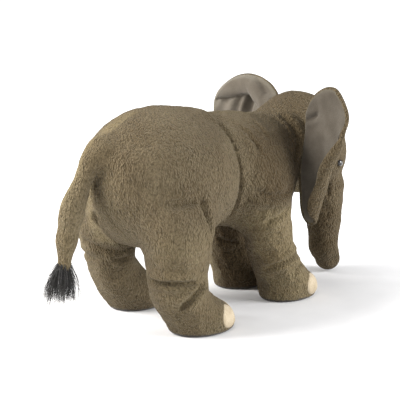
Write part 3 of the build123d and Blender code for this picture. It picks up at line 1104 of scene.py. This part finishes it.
def make_ear(side):
    """A velour back and a plush front, sewn together inside the rim."""
    outline = closed_curve(EAR_OUTLINES[side], 500)
    spokes = outline - np.array(EAR_MIDDLE)
    turn = np.arctan2(spokes[:, 1], spokes[:, 0])
    order = np.argsort(turn)
    edge, angle, quads = round_grid(100)
    reach = np.interp(angle, turn[order], np.linalg.norm(spokes, axis=1)[order], period=2 * math.pi)
    u = EAR_MIDDLE[0] + edge * reach * np.cos(angle)
    v = EAR_MIDDLE[1] + edge * reach * np.sin(angle)
    sheet = ear_sheet(side, u, v)
    step = 0.5
    across = ear_sheet(side, u + step, v) - sheet
    up = ear_sheet(side, u, v + step) - sheet
    back = np.cross(across, up)
    back /= np.linalg.norm(back, axis=1)[:, None]
    back *= np.sign(back[:, 1].mean())
    roundness = np.sqrt(np.maximum(0.0, 1 - edge**14))
    half = EAR_HALF_THICKNESS * roundness
    relief = ear_relief(side, u, v) * 0.001 * smooth_step(1 - edge, 0, 0.10)
    sag = pile_height(sheet, 0.022, 0.0012) * roundness
    back_co = sheet + back * (half + relief + sag)[:, None]
    pile = pile_height(sheet, PILE_CLUMP, PILE_HEIGHT) * roundness
    front_co = sheet + back * (pile - half + np.minimum(relief, 0) * 0.5 + sag)[:, None]
    rim = edge > 0.9999
    front_co[rim] = back_co[rim]
    wound = quads if side == RIGHT else quads[:, ::-1]
    wrapped = edge[quads].mean(1) > EAR_BACK_REACH[side]
    count = len(u)
    both = np.concatenate([back_co, front_co])
    number = np.arange(2 * count)
    number[count:][rim] = np.nonzero(rim)[0]
    plush_quads = number[np.concatenate([wound[wrapped], wound[:, ::-1] + count])]
    label = SIDE_NAMES[side]
    velour = part_of_mesh(f"ear_velour_{label}", back_co, wound[~wrapped])
    plush = part_of_mesh(f"ear_plush_{label}", both, plush_quads)
    seen = np.unique(wound[~wrapped])
    # Painted shade on the ear backs: darker towards the head; on the right ear also darker at the top and
    # lighter further down.
    painted_shading_layer = 0.75 + 0.25 * smooth_step(u, 30, 80)
    if side == RIGHT:
        painted_shading_layer = 0.14 + smooth_step(u, 38, 66) * (0.24 + 0.46 * smooth_step(-v, -175, -140))
    add_attribute(velour, "fuzz", smooth_step(edge, 0.90, 0.955)[seen] * 0.7)
    add_attribute(velour, "painted_shading", painted_shading_layer[seen])
    # The plush of the ear fronts gets one painted shading value, a little darker than plain plush.
    add_attribute(plush, "painted_shading", np.full(len(plush.data.vertices), 0.42))
    dressed(velour, VELOUR)
    dressed(plush, PLUSH)
    for piece, node in ((velour, "ear_back_panel_"), (plush, "ear_front_panel_")):
        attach(piece, "ear_" + label)
        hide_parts(node + label)
    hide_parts("ear_padding_" + label)


# ---- eyes and tuft


def make_eye(side):
    label = SIDE_NAMES[side]
    low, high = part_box("eye_" + label)
    centre = (np.array(low) + np.array(high)) / 2 + mm(0, 2.5, -1.5)
    centre = settled(centre[None], None, body, 8, 0)[0]
    bpy.ops.mesh.primitive_ico_sphere_add(subdivisions=4)
    bead = bpy.context.object
    bead.name = "eye_bead_" + label
    co = vertices_of(bead) * np.array([0.0036, 0.0046, 0.0036])
    tilt = math.radians(38)
    y = co[:, 1] * math.cos(tilt) - co[:, 2] * math.sin(tilt)
    z = co[:, 1] * math.sin(tilt) + co[:, 2] * math.cos(tilt)
    set_vertices(bead, centre + np.stack([co[:, 0], y, z], 1))
    dressed(bead, BEAD)
    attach(bead, "head")
    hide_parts("eye_" + label, "eye_washer_" + label)


def make_tuft():
    """Long hair in locks, bound at the end of the tail and fanned out below it."""
    rng = np.random.default_rng(7)
    low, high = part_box("tail_tuft")
    top = np.array([0, (low[1] + high[1]) / 2 - 0.001, high[2] + 0.002])
    locks, strands, steps, sides = 46, 13, 9, 3
    vertices, faces = [], []
    for lock in range(locks):
        angle = 2.4 * lock
        spread = math.sqrt((lock + 0.5) / locks)
        loose = lock % 6 == 5
        length = rng.uniform(0.031, 0.041)
        out = np.array([math.cos(angle) * 0.0115, math.sin(angle) * 0.011, 0])
        out = out * spread * (1.3 if loose else 1.0)
        tip = top + out * 1.5 + np.array([0, 0.005, -length]) + rng.normal(0, 0.0012, 3)
        for strand in range(strands):
            root = top + out * 0.36 + rng.normal(0, 0.0012, 3) * np.array([1, 1, 0.6])
            bow = out * 0.22 + rng.normal(0, 0.0011, 3)
            end = tip + rng.normal(0, 0.0022 if loose else 0.0011, 3)
            thick = rng.uniform(0.00024, 0.00040)
            first = len(vertices)
            for step in range(steps + 1):
                t = step / steps
                place = root + (end - root) * t + bow * math.sin(math.pi * t)
                radius = thick * (1 - 0.85 * t)
                for corner in range(sides):
                    turn = 2 * math.pi * corner / sides + angle
                    vertices.append(place + radius * np.array([math.cos(turn), math.sin(turn), 0]))
            faces += (first + grid_quads(steps, sides)).tolist()
            faces.append((first, first + 1, first + 2))
            last = first + steps * sides
            faces.append((last + 2, last + 1, last))
    tuft = add_mesh("tuft_hair", vertices, [face[::-1] for face in faces])
    dressed(tuft, TUFT)
    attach(tuft, "tail_lower")
    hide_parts("tail_tuft")


# ---- studio


def direction_from(azimuth, elevation):
    a, e = math.radians(azimuth), math.radians(elevation)
    return np.array([math.sin(a) * math.cos(e), -math.cos(a) * math.cos(e), math.sin(e)])


def aim(piece, place, target):
    piece.location = Vector(place)
    piece.rotation_euler = (Vector(target) - Vector(place)).to_track_quat("-Z", "Y").to_euler()


# The camera looks from behind and to the right of the toy, a little down on it.
CAMERA_TARGET = mm(-24, 31, 118)
CAMERA_AZIMUTH, CAMERA_ELEVATION = 229, 14.5
CAMERA_DISTANCE = 1.4
CAMERA_LENS, CAMERA_SENSOR = 123.5, 36
CAMERA_SHIFT = (-0.0075, 0.0125)
LIGHT_TARGET = mm(0, 0, 120)


def make_camera():
    data = bpy.data.cameras.new("camera")
    data.sensor_width = CAMERA_SENSOR
    data.lens = CAMERA_LENS
    data.shift_x, data.shift_y = CAMERA_SHIFT
    data.clip_end = 50
    camera = add_object("camera", data)
    place = CAMERA_TARGET + CAMERA_DISTANCE * direction_from(CAMERA_AZIMUTH, CAMERA_ELEVATION)
    aim(camera, place, CAMERA_TARGET)
    bpy.context.scene.camera = camera


def area_light(name, azimuth, elevation, distance, size, watts, colour=(1, 1, 1)):
    data = bpy.data.lights.new(name, "AREA")
    data.shape = "DISK"
    data.size = size
    data.energy = watts
    data.color = colour
    place = LIGHT_TARGET + distance * direction_from(azimuth, elevation)
    aim(add_object(name, data), place, LIGHT_TARGET)


def make_studio():
    floor = add_mesh("floor", [(-6, -6, 0), (6, -6, 0), (6, 6, 0), (-6, 6, 0)], [(0, 1, 2, 3)])
    floor.data.materials.append(paper_material())
    make_world()
    area_light("key", 150, 34, 1.15, 0.8, 33, (1.0, 0.98, 0.95))
    area_light("top", 200, 72, 1.5, 1.2, 6)
    area_light("side", 308, 17, 2.0, 1.1, 60)
    bpy.context.scene.view_settings.view_transform = "Standard"


def paper_material():
    """White paper with painted light: it glows more with distance from the toy, in place of a lit sweep
    behind it, which washes out the far part of cast shadows and lights the toy a little from below.
    """
    n = Nodes("floor_paper")
    where = n.place()
    grain = n.noise(where, 30)
    paper = n.ramp(grain, [(0.3, (0.78, 0.78, 0.79)), (0.7, (0.81, 0.81, 0.82))])
    far = n.new("VectorMath")
    far.operation = "LENGTH"
    n.feed(far, {0: where})
    glow = n.new("MapRange", Value=far.outputs["Value"])
    n.feed(glow, {"From Min": 0.15, "From Max": 0.65, "To Min": 0.0, "To Max": 0.75})
    n.feed(n.shader, {"Emission Color": (1, 1, 1), "Emission Strength": glow.outputs["Result"]})
    return n.finish(paper, 0.9, specular=0.1)


def make_world():
    """A white backdrop that lights the toy less than it shows, as a wall far behind it does."""
    world = bpy.data.worlds.new("studio")
    world.use_nodes = True
    tree = world.node_tree
    background = tree.nodes["Background"]
    background.inputs["Color"].default_value = (1, 1, 1, 1)
    seen = tree.nodes.new("ShaderNodeLightPath").outputs["Is Camera Ray"]
    strength = tree.nodes.new("ShaderNodeMapRange")
    strength.inputs["To Min"].default_value = 0.36
    tree.links.new(seen, strength.inputs["Value"])
    tree.links.new(strength.outputs["Result"], background.inputs["Strength"])
    bpy.context.scene.world = world


# ---- the whole toy

skin_pieces, skin_co, skin_quads = make_skin_pieces()
place_skin_pieces(skin_pieces)
make_toenails(BVHTree.FromPolygons(skin_co.tolist(), skin_quads.tolist()))
for ear_side in (RIGHT, LEFT):
    make_ear(ear_side)
    make_eye(ear_side)
make_tuft()
make_camera()
make_studio()
